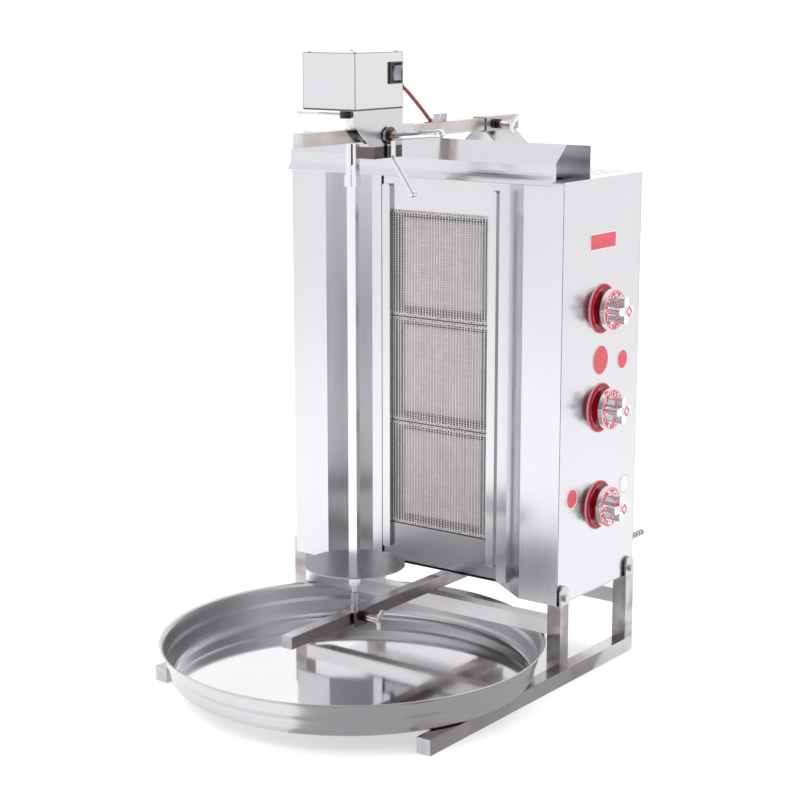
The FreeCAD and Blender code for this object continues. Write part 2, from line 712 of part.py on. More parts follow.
# ---- upper arm and its support ------------------------------------------------------------
def upper_arm():
    x0 = upper_arm_x - arm / 2
    top = upper_arm_z + arm
    body = square_tube(x0, x0 + arm, upper_arm_front, channel_back - 4, upper_arm_z, top,
                       arm_wall, "y")
    cable_hole = box(upper_arm_x - 5.5, upper_arm_x + 8, grommet_y - 17, grommet_y + 7, top - 2,
                     top + 1)
    save("upper_arm", body.cut(cable_hole))

    s = thick_sheet
    inside = channel_half - s
    roof = top + 0.5
    outer = box(channel_x - channel_half, channel_x + channel_half, channel_front,
                channel_back, pedestal_top_z, roof + s)
    inner = box(channel_x - inside, channel_x + inside, channel_front - 1, channel_back + 1,
                pedestal_top_z - 1, roof)
    hole = rod((channel_x, rear_bolt_y, arm_centre_z), (1, 0, 0), 30, wing_hole_r)
    nut = round_nut(channel_x + channel_half, rear_bolt_y, arm_centre_z)
    save("arm_channel", outer.cut(inner).cut(hole).fuse(nut))

    flange = 14.0
    low = cabinet_top_z + s
    spread = pedestal_foot_half
    line = [(-spread - flange, low), (-spread, low), (-channel_half, pedestal_top_z),
            (channel_half, pedestal_top_z), (spread, low), (spread + flange, low)]
    outline = [(channel_x + a, channel_front, b) for a, b in strip(line, s)]
    save("arm_pedestal", solid_of(outline, (0, channel_back - channel_front - 8, 0)))
    save("rear_wing_bolt", wing_bolt(upper_arm_x + arm / 2 + 0.1, rear_bolt_y, arm_centre_z,
                                     channel_x + channel_half, upper_arm_x + 46, -35))


# ---- motor head ---------------------------------------------------------------------------
def motor_housing():
    t = sheet
    shell = box(head_left, head_right, head_front_y, head_back_y, head_z, head_top_z)
    shell = shell.cut(box(head_left + t, head_right - t, head_front_y + t, head_back_y - t,
                          head_z - 1, head_top_z - t))
    window = box(head_right - 3, head_right + 3, switch_y - 11, switch_y + 11,
                 switch_z - 14, switch_z + 14)
    outlet = rod((gland_x, head_back_y - 5, gland_z), (0, 1, 0), 10, 6.0)
    save("motor_housing", shell.cut(window).cut(outlet))


def head_bracket():
    """Plate under the housing, the cheek beside the arm, and the sleeve that slides on it."""
    s = thick_sheet
    under = head_z - s
    base = box(head_left, head_right, head_front_y, head_back_y, under, head_z)
    base = base.cut(rod((spit_x, spit_y, head_z - 5), (0, 0, 1), 10, 14))
    outline = [(head_front_y, under), (head_front_y, 906), (154, 875), (190, 874),
               (head_back_y, 884), (head_back_y, under)]
    cheek_x = head_right - s
    cheek = solid_of([(cheek_x, y, z) for y, z in outline], (s, 0, 0))

    block_x0, block_y0, block_y1 = spit_x + 13.0, 163.0, 234.0
    block_z0, block_z1 = 855.0, 873.0
    block = box(block_x0, head_right, block_y0, block_y1, block_z0, block_z1)
    block = block.cut(box(block_x0 - 1, cheek_x, block_y0 + s, block_y1 + 1,
                          block_z0 - 1, block_z1 - s))
    web = box(cheek_x, head_right, block_y0, block_y1, block_z1 - 3, 886)

    reach = arm / 2 + sleeve_gap
    x0, x1 = upper_arm_x - reach - sleeve_wall, upper_arm_x + reach + sleeve_wall
    z0, z1 = arm_centre_z - reach - sleeve_wall, arm_centre_z + reach + sleeve_wall
    sleeve = box(x0, x1, sleeve_front, sleeve_back, z0, z1)
    sleeve = sleeve.cut(box(x0 + sleeve_wall, x1 - sleeve_wall, sleeve_front - 1,
                            sleeve_back + 1, z0 + sleeve_wall, z1 - sleeve_wall))
    links = []
    for y0, y1 in ((150, 180), (214, 234)):
        links.append(box(x1 - 1, cheek_x + 0.5, y0, y1, clamp_z - 4, clamp_z + 4))
        links.append(box(x0 + 6, x0 + 12, y0, y0 + 4, z1 - 0.5, under))
    hole = rod((upper_arm_x + arm / 2, clamp_y, clamp_z), (1, 0, 0), 40, clamp_screw_r + 0.4)
    sweep = rod((spit_x, spit_y, collar_z), (0, 0, 1), head_z - s - collar_z - 1,
                drive_side / math.sqrt(2) + 0.5)
    bracket = base.fuse([cheek, block, web, sleeve] + links)
    save("head_bracket", bracket.cut(hole).cut(sweep))


def gear_motor():
    """Reduction gearbox on the base plate and the motor standing on it."""
    gearbox = box(spit_x - 32, spit_x + 32, 139, 203, head_z + 0.5, head_z + 34)
    shaft_hole = rod((spit_x, spit_y, head_z - 5), (0, 0, 1), 60, shaft_r + shaft_gap)
    save("gearbox", gearbox.cut(shaft_hole))
    save("motor_can", rod((spit_x, spit_y + 2, head_z + 34.2), (0, 0, 1), 42, 27))


def rocker_switch():
    """Frame on the housing's right side with the rocker that tips in it."""
    y0, y1 = switch_y - switch_wide / 2, switch_y + switch_wide / 2
    z0, z1 = switch_z - switch_tall / 2, switch_z + switch_tall / 2
    rocker_y = switch_y + 1.5
    pocket_half = rocker_wide / 2 + 0.5
    bezel = box(head_right, head_right + 3, y0, y1, z0, z1)
    body = box(head_right - 16, head_right, switch_y - 10.5, switch_y + 10.5,
               switch_z - 13.5, switch_z + 13.5)
    pocket = box(head_right - 12, head_right + 5, rocker_y - pocket_half, rocker_y + pocket_half,
                 switch_z - rocker_tall / 2 - 1.4, switch_z + rocker_tall / 2 + 1.4)
    mouth = box(head_right - 2, head_right + 5, rocker_y - pocket_half, rocker_y + pocket_half,
                switch_z - rocker_tall / 2 - 2.6, switch_z + rocker_tall / 2 + 2.6)
    save("switch_frame", bezel.fuse(body).cut(pocket).cut(mouth))
    tall = rocker_tall / 2
    face = head_right + 4
    outline = [(head_right - 2, switch_z - tall), (face, switch_z - tall),
               (face - 1, switch_z), (face + 4, switch_z + tall),
               (head_right - 2, switch_z + tall), (head_right - 8, switch_z)]
    y_low = rocker_y - rocker_wide / 2
    save("switch_rocker", solid_of([(x, y_low, z) for x, z in outline], (0, rocker_wide, 0)))


def cable():
    """Motor lead from the housing's gland to the grommet where it enters the arm."""
    gland = hex_prism((gland_x, head_back_y, gland_z), (0, 1, 0), 5, 14)
    body = rod((gland_x, head_back_y - 8, gland_z), (0, 1, 0), 8.5, 5.8)
    save("cable_gland", gland.fuse(body))
    top = upper_arm_z + arm
    start = V(gland_x, head_back_y + 5, gland_z)
    bend = V(gland_x, head_back_y + 17, gland_z)
    end = V(upper_arm_x, grommet_y, top - 3)
    save("motor_cable", cord_tube([start, bend, end], cable_r))

    down = (end - bend).normalize()
    rise = 6.0 / -down.z
    boot = rod(end - down * rise, down, rise + 2, 4.3)
    flange = box(upper_arm_x - 6.5, upper_arm_x + 8.5, grommet_y - 19, grommet_y + 8,
                 top, top + 0.8)
    flange = flange.makeFillet(4.0, [e for e in flange.Edges if e.BoundBox.ZLength > 0.5])
    bore = rod(end - down * 40, down, 60, cable_r + 0.3)
    below = box(upper_arm_x - 20, upper_arm_x + 20, grommet_y - 40, grommet_y + 20,
                top - 20, top - 3)
    save("cable_grommet", boot.fuse(flange).cut(bore).cut(below))

    x0, x1 = upper_arm_x - 9, upper_arm_x + 3
    clip = box(x0, x1, grommet_y + 10, grommet_y + 34, top, top + 1.5)
    for y0 in (grommet_y + 11, grommet_y + 31):
        ear = box(x0, x1, y0, y0 + 1.5, top, top + 13)
        ear.rotate(V(0, y0, top), V(1, 0, 0), -18)
        clip = clip.fuse(ear.common(box(x0, x1, y0 - 9, y0 + 9, top, top + 20)))
    save("cable_clip", clip)


def clamp_lever():
    """Clamp screw with its disc, straight grip and bent lever."""
    disc_x = head_right + 3.2
    grip_dir = (math.cos(math.radians(grip_tilt)), 0, math.sin(math.radians(grip_tilt)))
    screw_x = upper_arm_x + arm / 2 + 0.3
    screw = rod((screw_x, clamp_y, clamp_z), (1, 0, 0), head_right + 22 - screw_x, clamp_screw_r)
    disc = rod((disc_x, clamp_y, clamp_z), (1, 0, 0), 1.8, 13.5)
    hub = rod((disc_x + 1.8, clamp_y, clamp_z), (1, 0, 0), 7, 8.0)
    grip_x = head_right + 19
    grip = rod((grip_x, clamp_y, clamp_z), grip_dir, 74, 5.8)
    along = [grip_x + 72 * grip_dir[0], clamp_y, clamp_z + 72 * grip_dir[2]]
    cap = turned([(0, 0), (0, 5.8), (2, 6.8), (9, 6.8), (12, 4.5), (13, 0)], along, grip_dir)
    lever_x = head_right + 8
    lever_end = (lever_x + 38, clamp_y, clamp_z - 86)
    lever = bent_tube([(lever_x, clamp_y, clamp_z - 3), (lever_x, clamp_y, clamp_z - 34),
                       lever_end], lever_r, 14.0)
    ball = Part.makeSphere(lever_r + 1.2, V(*lever_end))
    save("clamp_lever", screw.fuse([disc, hub, grip, cap, lever, ball]))


def clutch_handle():
    """Upright boss under the base plate with a straight handle out to the left."""
    under = head_z - thick_sheet - 0.3
    boss = rod((clutch_x, clutch_y, clutch_z - 5), (0, 0, 1), under - clutch_z + 5, 9.0)
    handle = rod((clutch_x - 5, clutch_y, clutch_z), (-1, 0, 0), 89, 3.0)
    save("clutch_handle", boss.fuse(handle))


def head_fasteners():
    """Screws on the housing's lid, and the nut on the cheek that the clamp screw runs in."""
    nut = hex_prism((head_right, clamp_y, clamp_z), (1, 0, 0), 3.0, 22)
    hole = rod((head_right - 1, clamp_y, clamp_z), (1, 0, 0), 12, clamp_screw_r + shaft_gap)
    pieces = [nut.cut(hole)]
    for x in (head_left + 7, head_right - 7):
        for y in (head_front_y + 8, head_back_y - 8):
            pieces.append(turned([(0, 0), (0, 3.2), (1.2, 3.0), (2.4, 0)], (x, y, head_top_z),
                                 (0, 0, 1)))
    save("head_fasteners", *pieces)


def main():
    for section in (base_frame, end_caps, lugs, cabinet, top_cover, hood, firebox, burners,
                    gas_train, taps, labels, drip_pan, lower_arm, foot, spit, drive, upper_arm,
                    motor_housing, head_bracket, gear_motor, rocker_switch, cable, clamp_lever,
                    clutch_handle, head_fasteners):
        section()
    b = Part.makeCompound(list(saved.values())).BoundBox
    print(len(saved), "nodes; x", round(b.XMin, 2), round(b.XMax, 2), "y", round(b.YMin, 2),
          round(b.YMax, 2), "z", round(b.ZMin, 2), round(b.ZMax, 2))


main()
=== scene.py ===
"""Looks of the vertical rotisserie broiler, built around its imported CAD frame.

Metres. X to the right, Y to the back, Z up, with the origin at the middle of the footprint.
"""
import math
import random

import bpy
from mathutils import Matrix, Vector

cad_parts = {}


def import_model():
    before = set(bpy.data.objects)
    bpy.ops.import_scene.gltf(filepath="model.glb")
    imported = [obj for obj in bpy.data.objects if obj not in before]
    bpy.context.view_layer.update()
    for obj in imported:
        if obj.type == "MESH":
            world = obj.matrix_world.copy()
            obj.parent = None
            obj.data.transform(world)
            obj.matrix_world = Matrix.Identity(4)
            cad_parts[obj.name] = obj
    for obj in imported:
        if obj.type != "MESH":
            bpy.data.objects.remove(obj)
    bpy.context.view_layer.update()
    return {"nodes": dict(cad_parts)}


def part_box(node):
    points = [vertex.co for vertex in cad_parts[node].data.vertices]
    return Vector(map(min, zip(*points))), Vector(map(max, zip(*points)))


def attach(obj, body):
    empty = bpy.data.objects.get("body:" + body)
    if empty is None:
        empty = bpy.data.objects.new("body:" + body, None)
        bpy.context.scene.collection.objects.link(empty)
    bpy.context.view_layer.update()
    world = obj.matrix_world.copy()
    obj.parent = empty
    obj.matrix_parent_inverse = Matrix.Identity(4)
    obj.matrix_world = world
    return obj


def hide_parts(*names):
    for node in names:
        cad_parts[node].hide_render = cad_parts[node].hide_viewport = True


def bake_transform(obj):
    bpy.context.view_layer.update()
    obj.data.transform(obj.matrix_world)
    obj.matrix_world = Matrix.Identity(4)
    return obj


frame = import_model()
nodes = frame["nodes"]
scene = bpy.context.scene
MM = 0.001


# ---- materials ----------------------------------------------------------------------------
SOCKETS = {"color": "Base Color", "metallic": "Metallic", "roughness": "Roughness",
           "specular": "Specular IOR Level", "coat": "Coat Weight",
           "coat_roughness": "Coat Roughness"}
# stretch of a texture that leaves streaks along one axis
ALONG = {"x": (0.012, 1, 1), "y": (1, 0.012, 1), "z": (1, 1, 0.012)}
# sockets of the Mix node when it mixes colours
MIX_FACTOR, MIX_FIRST, MIX_SECOND, MIX_RESULT = 0, 6, 7, 2


class Surface:
    """One procedural material: a Principled shader and the textures that feed it."""

    def __init__(self, name, **inputs):
        self.material = bpy.data.materials.new(name)
        self.material.use_nodes = True
        self.tree = self.material.node_tree
        self.shader = self.tree.nodes["Principled BSDF"]
        for key, value in inputs.items():
            if key == "color":
                value = (*value, 1)
            self.shader.inputs[SOCKETS[key]].default_value = value

    def node(self, kind, **settings):
        made = self.tree.nodes.new("ShaderNode" + kind)
        for key, value in settings.items():
            setattr(made, key, value)
        return made

    def link(self, output, target):
        self.tree.links.new(output, target)

    def point(self, stretch=(1, 1, 1)):
        """Object coordinates, scaled so that a small number makes long streaks."""
        mapping = self.node("Mapping")
        mapping.inputs["Scale"].default_value = stretch
        self.link(self.node("TexCoord").outputs["Object"], mapping.inputs["Vector"])
        return mapping.outputs["Vector"]

    def noise(self, scale, stretch=(1, 1, 1), detail=3.0, rough=0.5):
        texture = self.node("TexNoise")
        texture.inputs["Scale"].default_value = scale
        texture.inputs["Detail"].default_value = detail
        texture.inputs["Roughness"].default_value = rough
        self.link(self.point(stretch), texture.inputs["Vector"])
        return texture.outputs["Fac"]

    def ramp(self, value, stops):
        """Colours along `value`; stops are (place, colour)."""
        ramp = self.node("ValToRGB")
        elements = ramp.color_ramp.elements
        while len(elements) < len(stops):
            elements.new(0.5)
        for element, (place, color) in zip(elements, stops):
            element.position = place
            element.color = (*color, 1)
        self.link(value, ramp.inputs["Fac"])
        return ramp.outputs["Color"]

    def level(self, value, low, high, start=0.3, end=0.7):
        """`value` from start to end becomes low to high."""
        change = self.node("MapRange")
        for key, number in (("From Min", start), ("From Max", end), ("To Min", low),
                            ("To Max", high)):
            change.inputs[key].default_value = number
        self.link(value, change.inputs["Value"])
        return change.outputs["Result"]

    def blend(self, factor, first, second):
        """Colour `first` where factor is 0 and `second` where it is 1."""
        mix = self.node("Mix", data_type="RGBA")
        for key, value in ((MIX_FACTOR, factor), (MIX_FIRST, first), (MIX_SECOND, second)):
            if isinstance(value, (int, float)):
                mix.inputs[key].default_value = value
            elif isinstance(value, tuple):
                mix.inputs[key].default_value = (*value, 1)
            else:
                self.link(value, mix.inputs[key])
        return mix.outputs[MIX_RESULT]

    def math(self, operation, first, second):
        made = self.node("Math", operation=operation)
        for key, value in ((0, first), (1, second)):
            if isinstance(value, (int, float)):
                made.inputs[key].default_value = value
            else:
                self.link(value, made.inputs[key])
        return made.outputs[0]

    def place(self, part):
        """One coordinate of the surface in the frame, in metres: part is X, Y or Z."""
        split = self.node("SeparateXYZ")
        self.link(self.node("TexCoord").outputs["Object"], split.inputs["Vector"])
        return split.outputs[part]

    def reach(self, centre, flat):
        """Distance in metres from the line through `centre` that runs along axis `flat`."""
        weights = [0.0 if axis == flat else 1.0 for axis in "xyz"]
        move = self.node("VectorMath", operation="SUBTRACT")
        self.link(self.node("TexCoord").outputs["Object"], move.inputs[0])
        move.inputs[1].default_value = centre
        press = self.node("VectorMath", operation="MULTIPLY")
        self.link(move.outputs[0], press.inputs[0])
        press.inputs[1].default_value = weights
        size = self.node("VectorMath", operation="LENGTH")
        self.link(press.outputs[0], size.inputs[0])
        return size.outputs["Value"]

    def apart(self, part, centre):
        """Distance in metres from the plane where coordinate `part` is `centre`."""
        return self.math("ABSOLUTE", self.math("SUBTRACT", self.place(part), centre), 0.0)

    def step(self, value, edge, soft=0.0004):
        """0 below the edge and 1 above it."""
        return self.level(value, 0.0, 1.0, edge - soft, edge + soft)

    def under(self, value, edge, soft=0.0004):
        """1 below the edge and 0 above it."""
        return self.math("SUBTRACT", 1.0, self.step(value, edge, soft))

    def paint(self, output):
        self.link(output, self.shader.inputs["Base Color"])

    def gloss(self, output):
        self.link(output, self.shader.inputs["Roughness"])

    def metal(self, output):
        self.link(output, self.shader.inputs["Metallic"])

    def relief(self, height, strength, depth):
        bump = self.node("Bump")
        bump.inputs["Strength"].default_value = strength
        bump.inputs["Distance"].default_value = depth
        self.link(height, bump.inputs["Height"])
        self.link(bump.outputs["Normal"], self.shader.inputs["Normal"])


def scaled(color, amount):
    return tuple(min(1.0, c * amount) for c in color)


def brushed(name, color, roughness, along, streaks=0.05, tint=None, tint_size=9.0, grain=420.0,
            depth=0.00002, smudge=0.05):
    """Brushed or polished metal: streaks along one axis, fine grain and soft smudges.
    `tint` is a second colour that shows in broad soft patches."""
    s = Surface(name, metallic=1.0)
    stretch = ALONG[along]
    lines = s.noise(grain, stretch, detail=4.0, rough=0.6)
    broad = s.noise(grain / 7, stretch, detail=2.0)
    cloud = s.noise(tint_size, detail=2.0)
    base = s.ramp(lines, [(0.3, scaled(color, 1 - streaks)), (0.7, scaled(color, 1 + streaks))])
    base = s.blend(s.level(broad, 0.0, 0.5), base, scaled(color, 1 - streaks * 0.8))
    if tint:
        base = s.blend(s.level(cloud, 0.0, 1.0, 0.42, 0.62), base, tint)
    s.paint(base)
    s.gloss(s.math("ADD", s.level(cloud, roughness - smudge, roughness + smudge),
                   s.level(lines, -0.03, 0.03)))
    s.relief(s.math("ADD", lines, s.math("MULTIPLY", broad, 0.6)), 0.35, depth)
    return s.material


def machined(name, color, roughness, patches=0.08, patch_scale=60.0, depth=0.00003):
    """Turned, cast or plated metal with small uneven patches."""
    s = Surface(name, metallic=1.0)
    fine = s.noise(900, detail=2.0)
    patch = s.noise(patch_scale, detail=4.0, rough=0.6)
    s.paint(s.ramp(patch, [(0.3, scaled(color, 1 - patches)), (0.7, scaled(color, 1 + patches))]))
    s.gloss(s.math("ADD", s.level(patch, roughness * 0.8, roughness * 1.3),
                   s.level(fine, -0.03, 0.03)))
    s.relief(fine, 0.3, depth)
    return s.material


def moulded(name, color, roughness, grain=1500.0, depth=0.00003, specular=0.5, coat=0.0,
            patches=0.12):
    """Moulded plastic, rubber, enamel or paint."""
    s = Surface(name, specular=specular, coat=coat, coat_roughness=0.05)
    fine = s.noise(grain, detail=2.0)
    patch = s.noise(45, detail=3.0)
    s.paint(s.ramp(patch, [(0.35, scaled(color, 1 - patches)),
                           (0.65, scaled(color, 1 + patches))]))
    s.gloss(s.math("ADD", s.level(patch, roughness - 0.04, roughness + 0.04),
                   s.level(fine, -0.03, 0.03)))
    s.relief(fine, 0.25, depth)
    return s.material


SCREEN_PITCH = 0.181
# Painted shade: dark bands round each tile, as wide as they look behind the screen from the front
# right.
# The line of sight moves aside and down by these shares of the gap behind the screen.
SHADED_BAND_LEFT, SHADED_BAND_END = 0.024, 0.013
SIGHT_ASIDE, SIGHT_DOWN = 0.70, 0.20


def screen_heights(i):
    """Lower and upper edge of radiant i's screen, counted from the bottom."""
    low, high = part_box("burner_screens")
    return low.z + i * SCREEN_PITCH, high.z - (2 - i) * SCREEN_PITCH


def ceramic_tile():
    """Pale burner tiles with rows of small flame holes; holes and edges are painted shade."""
    s = Surface("ceramic", specular=0.3)
    dots = s.node("TexVoronoi", feature="F1")
    dots.inputs["Scale"].default_value = 330.0
    dots.inputs["Randomness"].default_value = 0.0
    s.link(s.point((1, 0, 1)), dots.inputs["Vector"])
    hole = s.level(dots.outputs["Distance"], 0.0, 1.0, 0.18, 0.34)
    patch = s.noise(30, detail=4.0)
    face = s.ramp(patch, [(0.3, (0.56, 0.53, 0.535)), (0.7, (0.66, 0.63, 0.635))])
    # Painted shade: the flame holes are painted dark, standing in for the shade inside them.
    face = s.blend(hole, (0.26, 0.24, 0.245), face)
    screen_low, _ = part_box("burner_screens")
    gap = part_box("ceramic_tiles")[0].y - screen_low.y
    clear_x = screen_low.x + SHADED_BAND_LEFT - gap * SIGHT_ASIDE
    height = None
    for i in range(3):
        z0, z1 = screen_heights(i)
        own = s.apart("Z", (z0 + z1) / 2 - gap * SIGHT_DOWN)
        height = own if height is None else s.math("MINIMUM", height, own)
    soft = 0.0012
    inside = s.math("MULTIPLY", s.step(s.place("X"), clear_x, soft),
                    s.under(height, (z1 - z0) / 2 - SHADED_BAND_END, soft))
    # Painted shade: near black round each tile, for the shade behind the screen's edges.
    s.paint(s.blend(inside, (0.012, 0.010, 0.010), face))
    s.gloss(s.level(patch, 0.75, 0.9))
    s.relief(hole, 0.4, 0.0004)
    return s.material


def middle(node):
    low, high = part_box(node)
    return (low + high) / 2


def along_edges(s, node, width):
    """1 within `width` of the edges of a node's box."""
    low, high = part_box(node)
    total = 0.0
    for axis, part in enumerate(("X", "Y", "Z")):
        half_size = (high[axis] - low[axis]) / 2
        near = s.step(s.apart(part, (low[axis] + high[axis]) / 2), half_size - width, 0.0002)
        total = s.math("ADD", total, near)
    return s.level(total, 0.0, 1.0, 1.4, 1.6)


def folded_sheet(name, along, color, dark, dark_zone):
    """Bright brushed sheet. `dark_zone(s)` gives the mask of the parts painted `dark`."""
    s = Surface(name, metallic=1.0)
    lines = s.noise(420.0, ALONG[along], detail=4.0, rough=0.6)
    cloud = s.noise(9.0, detail=2.0)
    base = s.ramp(lines, [(0.3, scaled(color, 0.98)), (0.7, scaled(color, 1.02))])
    s.paint(s.blend(dark_zone(s), base, dark))
    s.gloss(s.math("ADD", s.level(cloud, 0.17, 0.23), s.level(lines, -0.03, 0.03)))
    s.relief(lines, 0.35, 0.00002)
    return s.material


SEAM_SHADE_HEIGHT, BLOCK_BELOW_ARM = 0.0018, 0.0075


def bracket_zone(s):
    """The block under the arm, painted dark, and the seam under the housing, painted shade."""
    _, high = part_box("head_bracket")
    arm_low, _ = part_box("upper_arm")
    seam = s.step(s.place("Z"), high.z - SEAM_SHADE_HEIGHT)
    block = s.under(s.place("Z"), arm_low.z - BLOCK_BELOW_ARM)
    return s.math("MAXIMUM", seam, block)


CLUTCH_BOSS_WIDE = 0.0186


def clutch_finish():
    """Plated handle on a black boss."""
    s = Surface("clutch_handle")
    _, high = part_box("clutch_handle")
    boss = s.step(s.place("X"), high.x - CLUTCH_BOSS_WIDE)
    patch = s.noise(60, detail=3.0)
    rod = s.ramp(patch, [(0.3, (0.66, 0.665, 0.69)), (0.7, (0.71, 0.715, 0.74))])
    s.paint(s.blend(boss, rod, (0.03, 0.028, 0.03)))
    s.metal(s.math("SUBTRACT", 1.0, boss))
    s.gloss(s.math("ADD", s.level(boss, 0.07, 0.35, 0.0, 1.0), s.level(patch, -0.02, 0.02)))
    s.relief(s.noise(900, detail=2.0), 0.2, 0.00001)
    return s.material


CLAMP_Z = 0.889
CHEEK_FROM_SWITCH = 0.016
DISC_DEEP, HUB_DEEP, HUB_RADIUS = 0.0055, 0.0126, 0.0086


def lever_finish():
    """Chrome lever and grip, dark disc, and a painted warm reflection on the hub at the screw."""
    s = Surface("clamp_lever", metallic=1.0)
    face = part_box("switch_frame")[0].x + CHEEK_FROM_SWITCH
    axis = (0, middle("clamp_lever").y, CLAMP_Z)
    radius = s.reach(axis, "x")
    patch = s.noise(60, detail=3.0)
    chrome = s.ramp(patch, [(0.3, (0.68, 0.685, 0.71)), (0.7, (0.73, 0.735, 0.76))])
    near = s.under(s.place("X"), face + DISC_DEEP)
    hub = s.math("MULTIPLY", s.under(radius, HUB_RADIUS),
                 s.under(s.place("X"), face + HUB_DEEP))
    # Painted reflection: the hub is painted brownish for warm light reflected there.
    base = s.blend(hub, chrome, (0.42, 0.30, 0.24))
    s.paint(s.blend(near, base, (0.10, 0.095, 0.10)))
    s.gloss(s.level(patch, 0.05, 0.1))
    s.relief(s.noise(900, detail=2.0), 0.2, 0.00001)
    return s.material


def meat_plate_finish():
    """Disc turned on a lathe, with fine rings round the spit."""
    s = Surface("turned_plate", metallic=1.0)
    centre = middle("meat_plate")
    rings = s.node("TexNoise", noise_dimensions="1D")
    rings.inputs["Scale"].default_value = 500.0
    s.link(s.reach(centre, "z"), rings.inputs["W"])
    lines = rings.outputs["Fac"]
    cloud = s.noise(14.0, detail=3.0)
    base = s.ramp(lines, [(0.3, (0.36, 0.36, 0.375)), (0.7, (0.42, 0.42, 0.435))])
    s.paint(s.blend(s.level(cloud, 0.0, 0.5), base, (0.33, 0.32, 0.33)))
    s.gloss(s.level(cloud, 0.24, 0.3))
    s.relief(lines, 0.1, 0.00001)
    return s.material


LIT_TOP_DEEP = 0.0006


def lower_arm_finish(name, nut_x=None):
    """Dark steel tube, brown patches, lighter top; a welded nut past `nut_x` is nearly black."""
    s = Surface(name, metallic=1.0)
    lines = s.noise(420.0, ALONG["y"], detail=4.0, rough=0.6)
    cloud = s.noise(16.0, detail=3.0)
    # Painted shade: the sides are painted dark, standing in for dark reflections round the arm.
    side = s.ramp(lines, [(0.3, (0.255, 0.228, 0.235)), (0.7, (0.31, 0.285, 0.295))])
    side = s.blend(s.level(cloud, 0.0, 0.8, 0.45, 0.65), side, (0.27, 0.205, 0.195))
    _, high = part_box("lower_arm")
    # Painted light: the top face is painted lighter than the sides.
    base = s.blend(s.step(s.place("Z"), high.z - LIT_TOP_DEEP), side, (0.52, 0.51, 0.53))
    if nut_x:
        base = s.blend(s.step(s.place("X"), nut_x), base, (0.06, 0.055, 0.06))
    s.paint(base)
    s.gloss(s.level(cloud, 0.2, 0.3))
    s.relief(lines, 0.35, 0.00002)
    return s.material


CHANNEL_NUT_X = 0.0027


def channel_finish():
    """Folded channel over the upper arm's rear end, with a nearly black welded nut."""
    s = Surface("arm_channel", metallic=1.0)
    lines = s.noise(420.0, ALONG["y"], detail=4.0, rough=0.6)
    cloud = s.noise(22.0, detail=3.0)
    base = s.ramp(lines, [(0.3, (0.56, 0.54, 0.55)), (0.7, (0.62, 0.60, 0.615))])
    base = s.blend(s.level(cloud, 0.0, 0.6, 0.45, 0.65), base, (0.44, 0.40, 0.40))
    low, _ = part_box("rear_wing_bolt")
    nut = s.step(s.place("X"), low.x + CHANNEL_NUT_X)
    s.paint(s.blend(nut, base, (0.07, 0.065, 0.07)))
    s.gloss(s.level(cloud, 0.2, 0.3))
    s.relief(lines, 0.35, 0.00002)
    return s.material


PAN_WALL_FROM = 0.003


def pan_finish():
    """Spun pan: nearly a mirror on the bottom, satin rings up the wall."""
    s = Surface("polished_pan", metallic=1.0)
    floor_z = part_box("drip_pan")[0].z + PAN_WALL_FROM
    radius = s.reach(middle("drip_pan"), "z")
    rings = s.node("TexNoise", noise_dimensions="1D")
    rings.inputs["Scale"].default_value = 260.0
    s.link(s.math("ADD", radius, s.place("Z")), rings.inputs["W"])
    wall = s.step(s.place("Z"), floor_z, 0.001)
    cloud = s.noise(7.0, detail=3.0)
    bottom = s.ramp(cloud, [(0.3, (0.72, 0.715, 0.73)), (0.7, (0.76, 0.755, 0.77))])
    side = s.ramp(rings.outputs["Fac"], [(0.3, (0.58, 0.575, 0.59)), (0.7, (0.63, 0.625, 0.64))])
    s.paint(s.blend(wall, bottom, side))
    s.gloss(s.math("ADD", s.level(wall, 0.06, 0.30, 0.0, 1.0), s.level(cloud, -0.015, 0.03)))
    s.relief(rings.outputs["Fac"], 0.08, 0.00001)
    return s.material


RED = (0.62, 0.035, 0.06)
PALE_RED = (0.80, 0.24, 0.28)
WHITE = (0.84, 0.83, 0.84)
SKIRT_FACE, PRINT_DEEP = 0.0105, 0.0012
PRINT_INNER, PRINT_OUTER = 0.0228, 0.0305
BADGE_DEEP, BADGE_LINE_INNER, BADGE_LINE_OUTER = 0.0007, 0.0052, 0.0098


def knob_finish(name):
    """Chrome knob with a red speckled ring and a plain red diamond outline on its end."""
    s = Surface("printed_" + name, metallic=1.0)
    low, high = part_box(name)
    centre = (low + high) / 2
    radius = s.reach(centre, "x")
    fine = s.noise(900, detail=2.0)
    patch = s.noise(70, detail=3.0)
    chrome = s.ramp(patch, [(0.3, (0.87, 0.875, 0.90)), (0.7, (0.92, 0.925, 0.95))])
    skirt_face = low.x + SKIRT_FACE
    ring = s.math("MULTIPLY", s.step(s.place("X"), skirt_face),
                  s.under(s.place("X"), skirt_face + PRINT_DEEP))
    printed = s.math("MULTIPLY", ring, s.step(radius, PRINT_INNER))
    spots = s.ramp(s.noise(260, detail=1.0), [(0.52, RED), (0.56, WHITE)])
    ink = s.blend(s.step(radius, PRINT_OUTER), spots, PALE_RED)
    diagonal = s.math("ADD", s.apart("Y", centre.y), s.apart("Z", centre.z))
    badge = s.step(s.place("X"), high.x - BADGE_DEEP)
    outline = s.math("MULTIPLY", s.under(diagonal, BADGE_LINE_OUTER),
                     s.step(diagonal, BADGE_LINE_INNER))
    badge_ink = s.blend(outline, WHITE, RED)
    s.paint(s.blend(badge, s.blend(printed, chrome, ink), badge_ink))
    covered = s.math("MAXIMUM", printed, badge)
    s.metal(s.math("SUBTRACT", 1.0, covered))
    s.gloss(s.math("ADD", s.level(covered, 0.06, 0.3, 0.0, 1.0), s.level(fine, -0.02, 0.02)))
    s.relief(fine, 0.15, 0.00001)
    return s.material


BEZEL_RIM, BEZEL_HIGHLIGHT_EDGE = 0.0075, 0.0008


